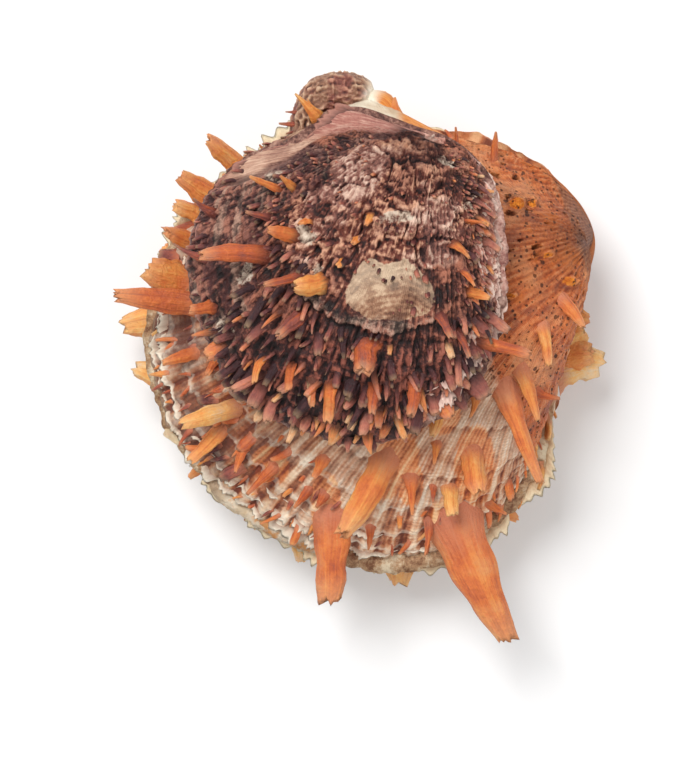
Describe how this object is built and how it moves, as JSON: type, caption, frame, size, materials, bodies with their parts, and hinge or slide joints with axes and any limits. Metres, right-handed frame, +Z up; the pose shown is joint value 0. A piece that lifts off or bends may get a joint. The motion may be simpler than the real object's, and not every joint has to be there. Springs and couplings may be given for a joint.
{
  "type": "spiny oyster shell",
  "caption": "Pair of whole spiny oyster shells grown together: a large pale orange one with a smaller dark purple one cemented on its back, resting on a flat scar.",
  "frame": {"origin": "on the surface it rests on, under the middle of the whole cluster's box", "axes": "+Z up, +Y towards the small oyster's hinge and along the longest way, +X towards the large oyster's hinge"},
  "size_m": [0.1632, 0.1871, 0.1059],
  "materials": {
    "orange_shell": "matt ribbed shell, orange brown at the beak, cream and mauve rays at the margin, orange spines",
    "cream_shell": "matt chalky shell with a porcelain white lip and orange leafy plates",
    "purple_shell": "matt ribbed shell, dark purple with pinkish crust and salmon orange spines",
    "brown_shell": "rough knobby shell, brown purple beak with a porcelain white hinge plate"
  },
  "bodies": {
    "root": {"large_upper_valve": "orange_shell", "large_lower_valve": "cream_shell", "small_upper_valve": "purple_shell", "small_lower_valve": "brown_shell"}
  },
  "joints": []
}
